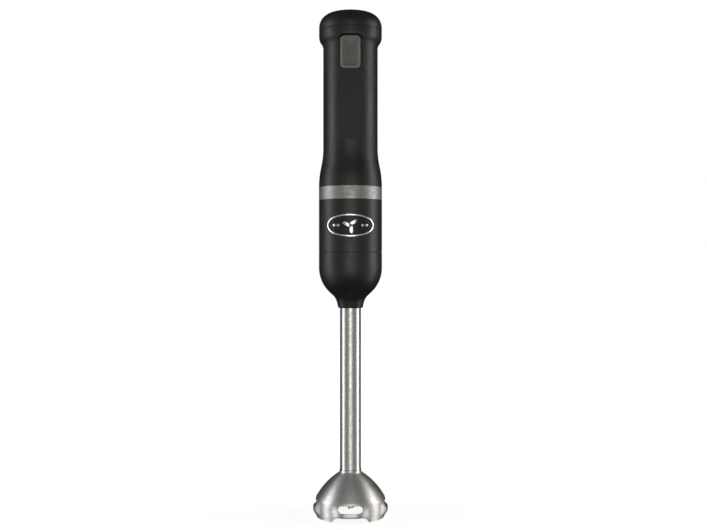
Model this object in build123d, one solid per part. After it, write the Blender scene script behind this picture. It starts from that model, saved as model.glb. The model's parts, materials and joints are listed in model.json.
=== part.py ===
from build123d import *
import os
from math import asin, cos, degrees, radians, sin

# A cordless immersion blender standing on its blade guard, in millimetres. +Z is up, the origin is on the
# axis at the level of the guard's feet, and the power button faces -Y.

# ---- driving dimensions -------------------------------------------------------------------------
BODY_R = 27.0            # motor housing and trim ring
GRIP_R = 23.35           # slim part of the handle
RIM_R = 26.9             # collar under the end cap
WALL = 2.2               # moulded wall of the handle
TUBE_R = 8.95            # outside of the steel tube
TUBE_WALL = 0.8

# Heights up the axis
SEAM_Z = 225.2           # twist-lock joint between the arm and the motor housing
RING_Z0 = 269.8          # trim ring
RING_Z1 = 280.7
FLARE_Z0 = 281.6         # the handle narrows from here to the grip
FLARE_Z1 = 314.6
COLLAR_Z0 = 398.9        # the grip widens again to the collar
COLLAR_Z1 = 409.4
CAP_Z = 413.9            # joint between the shells and the end cap
CAP_SHOULDER_Z = 417.5
CAP_SHOULDER_R = 12.0
SEAL_T = 0.6             # gasket under the end cap
TOP_Z = 431.0
SHELL_Z0 = RING_Z1
JOINT_GAP = 0.25         # half the open line at the twist-lock joint

# Blade guard
GUARD_NECK_Z = 39.6
SHEET = 0.9
GUARD_ARCS = [(-4.0, 56.1), (59.9, 30.3), (5.1, 0.0)]  # neck, flank and shoulder: radius, end angle
SKIRT_R = 188.0
VENT_W = 20.6
VENT_H = 5.9
VENT_Z = 11.4
HOOD_W = 25.0            # pressed hood over a vent
HOOD_Z0 = 3.0
HOOD_Z1 = 16.8
HOOD_OUT = 32.0          # hood's flat face, from the axis
HOOD_EASE = 3.0          # the flat face stops this far short of the hood's side
HOOD_DEPTH = 4.0
NOTCH_W = 31.4           # foot to foot, at the rim
NOTCH_TOP_W = 24.8
NOTCH_H = 4.6

# Arm housing, from the collar round the tube up to the twist-lock joint
ARM_ARCS_Z = 212.0
ARM_SHOULDER = (28.7, -47.4)
ARM_SLOPE = 3.2
ARM_HOLLOW = (-12.9, -13.4)
ARM_Z0 = 177.7
ARM_WALL = 2.6

# Front panel and power button
PANEL_Y = -21.0
PANEL_T = 2.2
PANEL_W = 20.6
PANEL_Z0 = 319.9
PANEL_Z1 = 407.2
PANEL_FOOT_R = 4.2
PANEL_HEAD_R = 5.2
BUTTON_W = 16.6
BUTTON_H = 27.7
BUTTON_Z = 392.5
BUTTON_R = 3.6
BUTTON_FACE_Y = -24.3
BUTTON_TRAVEL = 2.2
BUTTON_WALL = 1.6
BUTTON_EDGE_R = 1.1
DISH_R = 60.0            # thumb dish
DISH_DEPTH = 0.5
SLIP = 0.3               # gap round parts that slide or turn

# Twist lock
LOCK_ANGLES = [90, 210, 330]
LOCK_TWIST = 30.0
LUG_SPAN = 24.0
LUG_SLOT_SPAN = 29.0
LUG_Z0 = 229.0
LUG_Z1 = 232.0
HOUSING_R_IN = 24.6

# Drive line
SHAFT_R = 2.5
SHAFT_FIT = 0.04         # radial running clearance of the steel shaft in its bearings
MOTOR_SHAFT_R = 1.585
MOTOR_R = 18.0
MOTOR_Z0 = 238.5
MOTOR_Z1 = 290.0
CAN_WALL = 1.2
BLADE_Z = 12.0
BLADE_PITCH = 14.0       # the wings' leading edges sit lower
BLADE_T = 1.4
BLADE_R = 23.5
WING_ROOT = 4.2          # half the width of a wing where it leaves the hub

# Blending arm
TUBE_TOP_Z = 206.0
BUSH_Z0 = 30.0
BUSH_Z1 = 44.0
SEAL_Z0 = 26.5
BEARING_Z0 = 196.0
BEARING_Z1 = 203.0
BEARING_R = 7.5
GUIDE_Z = [95.0, 145.0]
SOCKET_Z0 = 207.5
SOCKET_Z1 = 222.0
COLLAR_R = 21.3
COLLAR_IN_R = 18.4

# Long shaft and blade
SHAFT_Z0 = 8.2
SHAFT_TOP_Z = 213.0
HUB_Z1 = 21.0
HUB_R = 5.0
NUT_R = 4.2
NUT_H = 3.6
CLIP_Z = 203.1
DOG_ARMS = 4             # star of the drive coupling
DOG_R = 7.4
DOG_ARM_W = 3.4
DOG_HUB_R = 4.0
DOG_PLAY = 0.35

# Motor
BOSS_R = 6.5
MOUNT_T = 3.5
ARMATURE_R = 12.6
ARMATURE_Z0 = 249.0
ARMATURE_Z1 = 273.0
MAGNET_R_IN = 13.3
POLES = 5
SHAFT_TAIL_Z = 289.0
SCREW_CIRCLE_R = 11.5
MOTOR_BEARING_R = 5.0

# Badge
BADGE_W = 39.0
BADGE_H = 19.0
BADGE_Z = 247.6
BADGE_T = 0.6

# Shells
LOW_BOSS_X = 17.0
LOW_BOSS_Z = 295.4
HIGH_BOSS_X = 15.6
HIGH_BOSS_Z = 376.4
SHELL_BOSS_R = 3.1
SHELL_SCREW_R = 1.3
SCREW_SEAT_Y = 10.0
CHARGE_Z = 388.0
CHARGE_W = 9.4
CHARGE_H = 3.8
SCREW_HEAD_R = 2.7
SCREW_WELL_R = 2.9

# Switch and board
LIP_T = 1.2
POST_R = 1.6
SWITCH_Y = -13.4         # front of the switch body
PLUNGER_R = 1.3
PLUNGER_Y0 = -15.9
PLUNGER_Y1 = -11.2
BOARD_Y = -7.6
BOARD_T = 1.6
BRACKET_Y1 = -3.4

# Battery
CELL_R = 9.15
CELL_H = 65.0
CELL_RING_R = 10.65
CELL_ANGLES = [90, 210, 330]
CELL_Z0 = 303.0
CARRIER_R = 20.8
CARRIER_TOP_Z = 370.6
PLATE_T = 2.2
STRAP_T = 0.4


# ---- helpers ------------------------------------------------------------------------------------
def ring(r_out, r_in, z0, z1):
    """A plain ring about the axis between two heights."""
    body = Pos(0, 0, z0) * Cylinder(r_out, z1 - z0, align=(Align.CENTER, Align.CENTER, Align.MIN))
    if r_in > 0:
        body -= Pos(0, 0, z0) * Cylinder(r_in, z1 - z0, align=(Align.CENTER, Align.CENTER, Align.MIN))
    return body


def block(x0, x1, y0, y1, z0, z1):
    """A box from its low and high corners."""
    return Pos((x0 + x1) / 2, (y0 + y1) / 2, (z0 + z1) / 2) * Box(x1 - x0, y1 - y0, z1 - z0)


def sector_face(r_out, r_in, mid, span):
    """The flat piece of a ring that spans an angle about mid, in degrees."""
    edges = [
        Line((r_in, 0), (r_out, 0)),
        CenterArc((0, 0), r_out, 0, span),
        Line((r_out * cos(radians(span)), r_out * sin(radians(span))),
             (r_in * cos(radians(span)), r_in * sin(radians(span)))),
        CenterArc((0, 0), r_in, 0, span),
    ]
    return Rot(0, 0, mid - span / 2) * make_face(edges)


def lifted(face, z0, z1):
    """A flat face extruded between two heights."""
    return extrude(Pos(0, 0, z0) * face, z1 - z0, dir=(0, 0, 1))


def sector(r_out, r_in, z0, z1, mid, span):
    """The piece of a ring that spans an angle about mid, in degrees."""
    return lifted(sector_face(r_out, r_in, mid, span), z0, z1)


def rod(x, z, r, y0, y1):
    """A round bar along Y."""
    return Pos(x, (y0 + y1) / 2, z) * Rot(90, 0, 0) * Cylinder(r, y1 - y0)


def spun(edges):
    """A solid turned about the axis from an outline drawn in X (radius) and Y (height)."""
    return revolve(Plane.XZ * make_face(edges), Axis.Z)


def arc_chain(start, angle, turns, inset=0.0):
    """Tangent arcs running down a profile, and the last outline point and angle.

    angle is the outward normal's, in degrees above level. Each turn is (radius, end angle), and a
    negative radius is a hollow curve. inset moves the whole chain inwards.
    """
    x, y = start
    edges = []
    for radius, end in turns:
        normal = (cos(radians(angle)), sin(radians(angle)))
        centre = (x - radius * normal[0], y - radius * normal[1])
        turned = 180.0 if radius < 0 else 0.0
        edges.append(CenterArc(centre, abs(radius - inset), angle + turned, end - angle))
        x = centre[0] + radius * cos(radians(end))
        y = centre[1] + radius * sin(radians(end))
        angle = end
    return edges, (x, y), angle


def inset_point(point, angle, inset):
    """A profile point moved inwards along its normal."""
    return (point[0] - inset * cos(radians(angle)), point[1] - inset * sin(radians(angle)))


def s_curve(r_low, z_low, r_high, z_high):
    """Two equal tangent arcs that carry a radius smoothly from one value to another going up."""
    mid = ((r_low + r_high) / 2, (z_low + z_high) / 2)
    return [TangentArc((r_low, z_low), mid, tangent=(0, 1)), TangentArc((r_high, z_high), mid, tangent=(0, -1))]


def front_prism(outline, y0, y1):
    """A front-view outline, drawn in X and Z, carried along Y from y0 to y1."""
    return extrude(Plane((0, y1, 0), x_dir=(1, 0, 0), z_dir=(0, -1, 0)) * outline, y1 - y0)


# ---- blade guard --------------------------------------------------------------------------------
def guard_dome(inset):
    """The solid under the guard's surface, moved inwards by inset."""
    arcs, foot, angle = arc_chain((TUBE_R, GUARD_NECK_Z), 0.0, GUARD_ARCS, inset)
    lean = -degrees(asin(foot[1] / SKIRT_R))
    skirt, rim, rim_angle = arc_chain(foot, angle, [(SKIRT_R, lean)], inset)
    neck = inset_point((TUBE_R, GUARD_NECK_Z), 0.0, inset)
    low = inset_point(rim, rim_angle, inset)
    outline = arcs + skirt + [
        Line(low, (low[0], -1.0)),
        Line((low[0], -1.0), (0, -1.0)),
        Line((0, -1.0), (0, neck[1])),
        Line((0, neck[1]), neck),
    ]
    return spun(outline)


def hood(inset):
    """The block behind one pressed hood, facing +X before it is turned into place."""
    flat = HOOD_W / 2 - HOOD_EASE
    corner = flat + HOOD_DEPTH
    plan = make_face(Polyline((0, -corner), (HOOD_OUT - HOOD_DEPTH, -corner), (HOOD_OUT, -flat),
                              (HOOD_OUT, flat), (HOOD_OUT - HOOD_DEPTH, corner), (0, corner), close=True))
    side = make_face(Polyline((0, HOOD_Z0), (HOOD_OUT - 2.4, HOOD_Z0), (HOOD_OUT - 0.7, HOOD_Z0 + 1.6),
                              (HOOD_OUT, HOOD_Z0 + 4.0), (HOOD_OUT - 0.3, HOOD_Z0 + 8.0),
                              (HOOD_OUT - 2.8, HOOD_Z1), (0, HOOD_Z1), close=True))
    if inset:
        plan = offset(plan, -inset, kind=Kind.INTERSECTION)
        side = offset(side, -inset, kind=Kind.INTERSECTION)
    return extrude(plan, HOOD_Z1 + 5, dir=(0, 0, 1)) & extrude(Plane.XZ * side, 40, both=True)


def bell():
    outer = guard_dome(0.0)
    inner = guard_dome(SHEET)
    for turn in range(0, 360, 90):
        outer += Rot(0, 0, turn) * hood(0.0)
        inner += Rot(0, 0, turn) * hood(SHEET)
    shell = outer - inner
    shell -= block(-50, 50, -50, 50, -5, 0)
    slot = extrude(Plane.YZ * Pos(0, VENT_Z) * SlotOverall(VENT_W, VENT_H), 50)
    for turn in range(0, 360, 90):
        shell -= Rot(0, 0, turn) * slot
    foot = make_face(Polyline((-NOTCH_W / 2, -1), (-NOTCH_W / 2, 0), (-NOTCH_TOP_W / 2, NOTCH_H),
                              (NOTCH_TOP_W / 2, NOTCH_H), (NOTCH_W / 2, 0), (NOTCH_W / 2, -1), close=True))
    corners = foot.vertices().group_by(Axis.Y)[-1]
    shell -= front_prism(fillet(corners, 3.0), -50, 50)
    socket = ring(TUBE_R + SHEET, TUBE_R, 36.0, 40.6)
    sleeve = socket & outer
    return shell - ring(TUBE_R, 0, 30, 60) + sleeve


# ---- blending arm -------------------------------------------------------------------------------
def shaft_tube():
    return ring(TUBE_R, TUBE_R - TUBE_WALL, GUARD_NECK_Z - 4.0, TUBE_TOP_Z)


def arm_profile(inset):
    """Right-hand edge of the arm housing, from the twist-lock joint down to the tube's collar."""
    shoulder, low, angle = arc_chain((BODY_R, ARM_ARCS_Z), 0.0, [ARM_SHOULDER], inset)
    slope_end = (low[0] + ARM_SLOPE * sin(radians(angle)), low[1] - ARM_SLOPE * cos(radians(angle)))
    hollow, neck, neck_angle = arc_chain(slope_end, angle, [ARM_HOLLOW], inset)
    drop = neck[1] - ARM_Z0
    foot = (neck[0] + drop * sin(radians(neck_angle)), ARM_Z0)
    slope = Line(inset_point(low, angle, inset), inset_point(slope_end, angle, inset))
    return shoulder, slope, hollow, inset_point(neck, neck_angle, inset), foot


def arm_housing():
    """Hollow black housing over the tube's top, with a solid nose round the tube."""
    shoulder, slope, hollow, neck, foot = arm_profile(0.0)
    top = SEAM_Z - JOINT_GAP
    outer = spun([Line((BODY_R, top), (BODY_R, ARM_ARCS_Z))] + shoulder + [slope] + hollow + [
        Line(neck, foot), Line(foot, (0, ARM_Z0)), Line((0, ARM_Z0), (0, top)), Line((0, top), (BODY_R, top))])
    outer = fillet(outer.edges().group_by(Axis.Z)[0], 0.9)
    outer = outer - ring(TUBE_R, 0, ARM_Z0 - 1, TUBE_TOP_Z)
    shoulder, slope, hollow, neck, foot = arm_profile(ARM_WALL)
    r_in = BODY_R - ARM_WALL
    cavity = spun([Line((r_in, top + 1), (r_in, ARM_ARCS_Z))] + shoulder + [slope] + hollow + [
        Line(neck, (0, neck[1])), Line((0, neck[1]), (0, top + 1)), Line((0, top + 1), (r_in, top + 1))])
    cavity -= ring(BODY_R, 0, ARM_Z0, TUBE_TOP_Z - 6.0)
    return outer - cavity


def lock_collar():
    """Ring that stands out of the arm's top, with three lugs that hook into the motor housing."""
    seat_r = BODY_R - ARM_WALL
    body = ring(COLLAR_R, COLLAR_IN_R, SEAM_Z - 12.0, LUG_Z1 + 2.0)
    body += ring(seat_r, COLLAR_R, SEAM_Z - 6.0, SEAM_Z - 3.0)
    for angle in LOCK_ANGLES:
        body += sector(COLLAR_R + 2.3, COLLAR_R - 0.5, LUG_Z0, LUG_Z1, angle, LUG_SPAN)
    return body


def bearing_carrier():
    """Plug that centres the upper bearing in the top of the tube."""
    inside = TUBE_R - TUBE_WALL
    body = ring(inside, 0, BEARING_Z0 - 6.0, TUBE_TOP_Z)
    body -= ring(BEARING_R, 0, BEARING_Z0, TUBE_TOP_Z)
    return body - ring(SHAFT_R + 0.6, 0, 0, 300)


def ball_bearing(shaft_r, r_out, z0, z1):
    """A shielded bearing drawn as one ring with the gap between its races turned in."""
    body = ring(r_out, shaft_r, z0, z1)
    groove_out = r_out - 0.28 * (r_out - shaft_r)
    groove_in = shaft_r + 0.28 * (r_out - shaft_r)
    for base in (z0, z1 - 0.4):
        body -= ring(groove_out, groove_in, base, base + 0.4)
    return body


def shaft_guides():
    """Two nylon sleeves that keep the long shaft from whipping inside the tube."""
    sleeves = []
    for z in GUIDE_Z:
        sleeve = ring(TUBE_R - TUBE_WALL, SHAFT_R + SHAFT_FIT, z - 6.0, z + 6.0)
        for turn in range(0, 360, 60):
            sleeve -= Rot(0, 0, turn) * Pos(5.4, 0, z) * Cylinder(1.4, 20)
        sleeves.append(sleeve)
    return Compound(children=sleeves)


def lower_bush():
    """Sintered bush in the tube's foot, with a shoulder under the guard's neck."""
    return ring(TUBE_R - TUBE_WALL, SHAFT_R + SHAFT_FIT, BUSH_Z0 + 6.0, BUSH_Z1) + \
        ring(TUBE_R - TUBE_WALL - 1.2, SHAFT_R + SHAFT_FIT, BUSH_Z0, BUSH_Z0 + 6.0)


def shaft_seal():
    """Silicone lip seal cupped over the bush's nose."""
    nose_r = TUBE_R - TUBE_WALL - 1.2
    body = ring(nose_r + 1.4, nose_r, BUSH_Z0, BUSH_Z0 + 5.0)
    body += ring(nose_r + 1.4, SHAFT_R + 0.25, BUSH_Z0 - 1.6, BUSH_Z0)
    lip = spun([Line((SHAFT_R + 0.15, SEAL_Z0), (SHAFT_R + 0.9, SEAL_Z0)),
                Line((SHAFT_R + 0.9, SEAL_Z0), (SHAFT_R + 2.2, BUSH_Z0 - 1.6)),
                Line((SHAFT_R + 2.2, BUSH_Z0 - 1.6), (SHAFT_R + 0.25, BUSH_Z0 - 1.6)),
                Line((SHAFT_R + 0.25, BUSH_Z0 - 1.6), (SHAFT_R + 0.15, SEAL_Z0))])
    return body + lip


# ---- long shaft and blade -----------------------------------------------------------------------
def drive_shaft():
    body = ring(SHAFT_R, 0, SHAFT_Z0, SHAFT_TOP_Z)
    return body - ring(SHAFT_R, SHAFT_R - 0.4, CLIP_Z, CLIP_Z + 0.8)


def shaft_clip():
    """Open circlip in its groove, over the upper bearing."""
    clip = ring(SHAFT_R + 1.3, SHAFT_R - 0.4, CLIP_Z, CLIP_Z + 0.8)
    return clip - block(0, 10, -1.2, 1.2, CLIP_Z - 1, CLIP_Z + 2)


def blade_hub():
    """Moulded hub pressed on the shaft, tapered above the blade."""
    top = BLADE_Z + BLADE_T / 2
    body = spun([Line((SHAFT_R, top), (HUB_R, top)), Line((HUB_R, top), (HUB_R, HUB_Z1 - 3.0)),
                 Line((HUB_R, HUB_Z1 - 3.0), (SHAFT_R + 1.2, HUB_Z1)),
                 Line((SHAFT_R + 1.2, HUB_Z1), (SHAFT_R, HUB_Z1)), Line((SHAFT_R, HUB_Z1), (SHAFT_R, top))])
    return body


def blade_nut():
    """Domed cap that clamps the blade up against the hub."""
    low = BLADE_Z - BLADE_T / 2
    side = low - 1.6
    foot = low - NUT_H
    body = spun([Line((0, low), (NUT_R, low)), Line((NUT_R, low), (NUT_R, side)),
                 CenterArc((NUT_R - 2.0, side), 2.0, 0, -90), Line((NUT_R - 2.0, foot), (0, foot)),
                 Line((0, foot), (0, low))])
    body &= extrude(Pos(0, 0, foot) * RegularPolygon(NUT_R, 6), NUT_H, dir=(0, 0, 1))
    return body - ring(SHAFT_R, 0, SHAFT_Z0, low + 1)


def wing():
    """One blade wing along -Y: a flat plate, wide at its root, with a ground edge and a narrow raked tip."""
    plan = make_face([Line((-WING_ROOT, -2.5), (WING_ROOT, -2.5)), Line((WING_ROOT, -2.5), (3.9, -BLADE_R + 4.5)),
                      ThreePointArc((3.9, -BLADE_R + 4.5), (2.9, -BLADE_R + 1.1), (-1.5, -BLADE_R)),
                      ThreePointArc((-1.5, -BLADE_R), (-3.1, -BLADE_R * 0.55), (-WING_ROOT, -2.5))])
    low = BLADE_Z - BLADE_T / 2
    plate = extrude(Pos(0, 0, low) * plan, BLADE_T, dir=(0, 0, 1))
    bevel_cut = Pos(4.4, -BLADE_R / 2, low) * Rot(0, -35, 0) * Box(1.6, 2 * BLADE_R, 3.0)
    return Pos(0, 0, BLADE_Z) * Rot(0, -BLADE_PITCH, 0) * Pos(0, 0, -BLADE_Z) * (plate - bevel_cut)


def blade():
    top = BLADE_Z + BLADE_T / 2
    low = BLADE_Z - BLADE_T / 2
    body = wing() + Rot(0, 0, 180) * wing() + ring(6.0, 0, low, top)
    for turn in (90, 270):
        fin = extrude(Plane.XZ * make_face(Polyline((5.0, 0), (11.5, 4.2), (13.2, 4.2), (13.2, 3.2),
                                                    (5.6, -BLADE_T), (5.0, -BLADE_T), close=True)), 2.6, both=True)
        body += Rot(0, 0, turn - 90) * Pos(0, 0, top) * fin
    body -= ring(HUB_R + SLIP, 0, top, HUB_Z1) + ring(NUT_R + SLIP, 0, SHAFT_Z0 - 4.0, low)
    return body - ring(SHAFT_R, 0, SHAFT_Z0, HUB_Z1)


def dog_star(extra, z0, z1):
    """Four-armed star of the coupling, or its pocket when grown by extra."""
    body = ring(DOG_HUB_R + extra, 0, z0, z1)
    for turn in range(0, 360, 360 // DOG_ARMS):
        body += Rot(0, 0, turn) * block(0, DOG_R + extra, -DOG_ARM_W / 2 - extra, DOG_ARM_W / 2 + extra, z0, z1)
    return body


def drive_socket():
    """Cup on the long shaft that takes the motor's dog."""
    body = ring(10.0, 0, SOCKET_Z0 + 3.0, SOCKET_Z1) + ring(6.0, 0, SOCKET_Z0, SOCKET_Z0 + 3.0)
    body -= dog_star(DOG_PLAY, SHAFT_TOP_Z + 0.4, SOCKET_Z1)
    return body - ring(SHAFT_R, 0, 0, SHAFT_TOP_Z)


def drive_dog():
    """Star pressed on the motor shaft."""
    body = dog_star(0.0, SHAFT_TOP_Z + 1.0, SOCKET_Z1 + 1.5)
    body += ring(6.6, 0, SOCKET_Z1 + 1.5, LUG_Z1 + 1.5)
    return body - ring(MOTOR_SHAFT_R, 0, SHAFT_TOP_Z + 2.5, 300)


# ---- motor --------------------------------------------------------------------------------------
def motor_shaft():
    return ring(MOTOR_SHAFT_R, 0, SHAFT_TOP_Z + 2.5, SHAFT_TAIL_Z)


def armature():
    """Laminated stack with five slots for the windings."""
    body = ring(ARMATURE_R, MOTOR_SHAFT_R, ARMATURE_Z0, ARMATURE_Z1)
    for turn in range(0, 360, 360 // POLES):
        slot = block(5.2, ARMATURE_R - 1.6, -2.3, 2.3, ARMATURE_Z0 - 1, ARMATURE_Z1 + 1)
        mouth = block(ARMATURE_R - 2.0, ARMATURE_R + 1, -0.6, 0.6, ARMATURE_Z0 - 1, ARMATURE_Z1 + 1)
        body -= Rot(0, 0, turn) * (slot + mouth)
    return body


def windings():
    """Copper coils: one bundle in each slot, joined over both ends of the stack."""
    body = ring(10.4, 5.4, ARMATURE_Z0 - 3.0, ARMATURE_Z0) + ring(10.4, 5.4, ARMATURE_Z1, ARMATURE_Z1 + 2.0)
    for turn in range(0, 360, 360 // POLES):
        body += Rot(0, 0, turn) * block(5.6, ARMATURE_R - 2.2, -2.0, 2.0, ARMATURE_Z0 - 0.5, ARMATURE_Z1 + 0.5)
    return body


def commutator():
    body = ring(4.4, MOTOR_SHAFT_R, ARMATURE_Z1 + 2.6, ARMATURE_Z1 + 11.0)
    body += ring(5.4, MOTOR_SHAFT_R, ARMATURE_Z1 + 0.6, ARMATURE_Z1 + 2.6)
    for turn in range(0, 360, 360 // POLES):
        body -= Rot(0, 0, turn + 36) * block(3.6, 6, -0.25, 0.25, ARMATURE_Z1 + 3.2, ARMATURE_Z1 + 12)
    return body


def motor_fan():
    """Small radial fan that cools the windings."""
    body = ring(13.0, MOTOR_SHAFT_R, ARMATURE_Z0 - 5.0, ARMATURE_Z0 - 4.0)
    body += ring(3.6, MOTOR_SHAFT_R, ARMATURE_Z0 - 6.6, ARMATURE_Z0 - 5.0)
    for turn in range(0, 360, 45):
        body += Rot(0, 0, turn) * block(7.0, 13.0, -0.4, 0.4, ARMATURE_Z0 - 6.6, ARMATURE_Z0 - 5.0)
    return body


def motor_can():
    """Drawn steel can, closed below round the bearing boss, with cooling windows."""
    inner = MOTOR_R - CAN_WALL
    body = ring(MOTOR_R, inner, MOTOR_Z0, MOTOR_Z1 - 3.0)
    body += ring(MOTOR_R, BOSS_R - 1.5, MOTOR_Z0, MOTOR_Z0 + CAN_WALL)
    body += ring(BOSS_R, BOSS_R - 1.5, MOTOR_Z0 - 2.5, MOTOR_Z0 + CAN_WALL)
    body += ring(BOSS_R, MOTOR_SHAFT_R + 0.9, MOTOR_Z0 - 2.5, MOTOR_Z0 - 1.7)
    for side in (-1, 1):
        body -= Pos(side * SCREW_CIRCLE_R, 0, MOTOR_Z0) * Cylinder(1.25, 10)
    for turn in (90, 270):
        body -= Rot(0, 0, turn) * block(10, 30, -6.0, 6.0, ARMATURE_Z0 - 7.0, ARMATURE_Z0 - 3.0)
    return body


def field_magnets():
    arcs = [sector(MOTOR_R - CAN_WALL, MAGNET_R_IN, ARMATURE_Z0 - 1.0, ARMATURE_Z1 + 1.0, mid, 128.0)
            for mid in (0, 180)]
    return Compound(children=arcs)


def motor_end_bell():
    """Moulded cap of the motor that carries the rear bearing and both brush holders."""
    body = ring(MOTOR_R, 0, MOTOR_Z1 - 3.0, MOTOR_Z1)
    body += ring(MOTOR_R - CAN_WALL, MOTOR_R - CAN_WALL - 1.5, MOTOR_Z1 - 9.0, MOTOR_Z1 - 3.0)
    body -= ring(MOTOR_BEARING_R, 0, MOTOR_Z1 - 4.0, MOTOR_Z1 - 1.0)
    for side in (-1, 1):
        holder = block(6.6, 15.6, -3.0, 3.0, MOTOR_Z1 - 12.0, MOTOR_Z1 - 3.0)
        holder -= block(0, 14.0, -2.0, 2.0, MOTOR_Z1 - 10.5, MOTOR_Z1 - 6.0)
        body += holder if side > 0 else Rot(0, 0, 180) * holder
    return body


def motor_brushes():
    """Carbon brush on each side of the commutator."""
    right = block(4.5, 13.5, -1.9, 1.9, MOTOR_Z1 - 10.4, MOTOR_Z1 - 6.1)
    return Compound(children=[right, Rot(0, 0, 180) * right])


def motor_bearings():
    low = ball_bearing(MOTOR_SHAFT_R + SHAFT_FIT, BOSS_R - 1.5, MOTOR_Z0 - 1.7, MOTOR_Z0 + 1.2)
    high = ball_bearing(MOTOR_SHAFT_R + SHAFT_FIT, MOTOR_BEARING_R, MOTOR_Z1 - 4.0, MOTOR_Z1 - 1.0)
    return Compound(children=[low, high])


def motor_mount():
    """Bulkhead across the motor housing, bored for the motor's boss and its two screws."""
    body = ring(HOUSING_R_IN, BOSS_R, MOTOR_Z0 - MOUNT_T, MOTOR_Z0)
    for side in (-1, 1):
        body -= Pos(side * SCREW_CIRCLE_R, 0, MOTOR_Z0 - 2) * Cylinder(1.6, 10)
        body -= Pos(side * SCREW_CIRCLE_R, 0, MOTOR_Z0 - MOUNT_T) * Cylinder(3.0, 3.6)
    return body


def motor_screws():
    """Two pan-head screws up through the bulkhead into the can."""
    screws = []
    for side in (-1, 1):
        head = Pos(side * SCREW_CIRCLE_R, 0, MOTOR_Z0 - MOUNT_T + 0.9) * Cylinder(2.6, 1.8)
        head -= Pos(side * SCREW_CIRCLE_R, 0, MOTOR_Z0 - MOUNT_T) * Box(3.0, 0.7, 1.4)
        head -= Pos(side * SCREW_CIRCLE_R, 0, MOTOR_Z0 - MOUNT_T) * Box(0.7, 3.0, 1.4)
        shank = Pos(side * SCREW_CIRCLE_R, 0, MOTOR_Z0 - 0.3) * Cylinder(1.25, 3.0)
        screws.append(head + shank)
    return Compound(children=screws)


def motor_damper():
    """Rubber sleeve with ribs that holds the motor's upper end quietly in the housing."""
    body = ring(MOTOR_R + 1.6, MOTOR_R, RING_Z0 - 3.0, RING_Z1 + 3.0)
    for turn in range(0, 360, 45):
        body += Rot(0, 0, turn) * block(MOTOR_R + 1.0, MOTOR_R + 3.6, -1.2, 1.2, RING_Z0 - 3.0, RING_Z1 + 3.0)
    return body


# ---- motor housing ------------------------------------------------------------------------------
def motor_housing():
    """Sleeve between the twist-lock joint and the trim ring, with a spigot inside the ring."""
    body = ring(BODY_R, HOUSING_R_IN, SEAM_Z + JOINT_GAP, RING_Z0)
    body += ring(BODY_R - 1.0, HOUSING_R_IN, RING_Z0, RING_Z1)
    return body - badge_plate(BADGE_T)


def badge_plate(depth):
    """Oval plate that follows the housing's curve, depth deep from the surface."""
    oval = front_prism(Pos(0, BADGE_Z) * Ellipse(BADGE_W / 2, BADGE_H / 2), -BODY_R - 2, 0)
    return oval & ring(BODY_R, BODY_R - depth, BADGE_Z - BADGE_H, BADGE_Z + BADGE_H)


def trim_ring():
    return ring(BODY_R, BODY_R - 1.0, RING_Z0, RING_Z1)


def joint_gasket():
    """Rubber ring under the motor housing that closes the line of the twist-lock joint."""
    return ring(BODY_R - 0.3, BODY_R - 1.9, SEAM_Z - JOINT_GAP + 0.07, SEAM_Z + JOINT_GAP)


def bayonet_ring():
    """Locking ring fixed in the housing: lugs enter its gaps and turn over its flange."""
    wall_r = HOUSING_R_IN - 0.7
    track_r = COLLAR_R + SLIP
    flange = Circle(HOUSING_R_IN) - Circle(track_r)
    wall = Circle(HOUSING_R_IN) - Circle(wall_r)
    for angle in LOCK_ANGLES:
        flange -= sector_face(wall_r, track_r - 1.0, angle + LOCK_TWIST, LUG_SLOT_SPAN)
        for stop in (-LUG_SPAN / 2 - 4.0, LOCK_TWIST + LUG_SPAN / 2 + 4.0):
            wall += sector_face(HOUSING_R_IN - 0.3, track_r, angle + stop, 5.0)
    body = lifted(flange, SEAM_Z + JOINT_GAP + 0.6, LUG_Z0 - SLIP)
    return body + lifted(wall, LUG_Z0 - SLIP, MOTOR_Z0 - MOUNT_T)


# ---- handle shells ------------------------------------------------------------------------------
def handle_solid(inset, z0, z1):
    """The solid inside the handle's surface between two heights, moved inwards by inset."""
    body_r, grip_r, rim_r = BODY_R - inset, GRIP_R - inset, RIM_R - inset
    edges = [Line((0, z0), (body_r, z0)), Line((body_r, z0), (body_r, FLARE_Z0))]
    edges += s_curve(body_r, FLARE_Z0, grip_r, FLARE_Z1)
    edges += [Line((grip_r, FLARE_Z1), (grip_r, COLLAR_Z0))]
    edges += s_curve(grip_r, COLLAR_Z0, rim_r, COLLAR_Z1)
    edges += [Line((rim_r, COLLAR_Z1), (rim_r, z1)), Line((rim_r, z1), (0, z1)), Line((0, z1), (0, z0))]
    return spun(edges)


def panel_outline(grow=0.0):
    """Front view of the sunk panel: square shoulders below, rounded round the button above."""
    height = PANEL_Z1 - PANEL_Z0 + 2 * grow
    outline = Pos(0, (PANEL_Z0 + PANEL_Z1) / 2) * Rectangle(PANEL_W + 2 * grow, height)
    low = outline.vertices().group_by(Axis.Y)[0]
    return fillet(fillet(low, PANEL_FOOT_R).vertices().group_by(Axis.Y)[-1], PANEL_HEAD_R)


def button_outline(grow=0.0):
    return Pos(0, BUTTON_Z) * RectangleRounded(BUTTON_W + 2 * grow, BUTTON_H + 2 * grow, BUTTON_R + grow)


def shell_boss(x, z, y0, y1, r):
    return rod(x, z, r, y0, y1) + rod(-x, z, r, y0, y1)


def handle_shell():
    """The whole moulded sleeve before it is split into its front and rear halves."""
    full = handle_solid(0.0, SHELL_Z0, CAP_Z - SEAL_T / 2)
    shell = full - handle_solid(WALL, SHELL_Z0 - 1, CAP_Z + 1)
    posts = shell_boss(LOW_BOSS_X, LOW_BOSS_Z, -30, 30, SHELL_BOSS_R)
    posts += shell_boss(HIGH_BOSS_X, HIGH_BOSS_Z, -30, 30, SHELL_BOSS_R)
    return shell + (posts & handle_solid(0.5, SHELL_Z0, CAP_Z - 1))


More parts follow.
